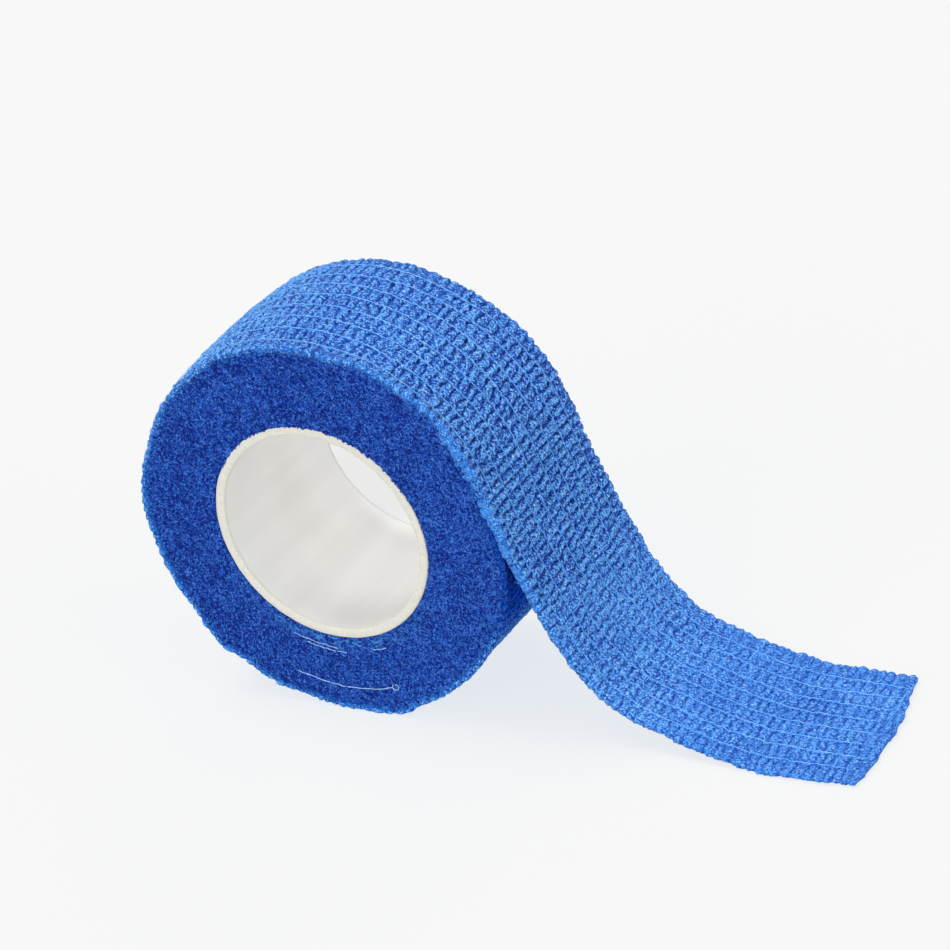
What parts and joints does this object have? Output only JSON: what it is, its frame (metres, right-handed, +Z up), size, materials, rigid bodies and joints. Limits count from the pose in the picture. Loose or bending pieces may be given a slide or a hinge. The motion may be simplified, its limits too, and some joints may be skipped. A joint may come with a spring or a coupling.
{
  "type": "cohesive bandage roll",
  "caption": "Crinkled self-sticking elastic bandage wound on an open core tube, standing on its rim, its loose end curving down to lie flat.",
  "frame": {"origin": "middle of the roll's flat spot, on the surface that the roll stands on", "axes": "+X the way the loose end runs out, +Y along the roll's axis, +Z up"},
  "size_m": [0.0969, 0.0266, 0.0514],
  "materials": {
    "core": "smooth off-white tube with a slightly rough cream rim",
    "bandage": "crinkled blue nonwoven with pale lengthwise elastic threads and a faint latex glint"
  },
  "bodies": {
    "root": {"core_tube": "core", "wound_roll": "bandage", "loose_end": "bandage"}
  },
  "joints": []
}
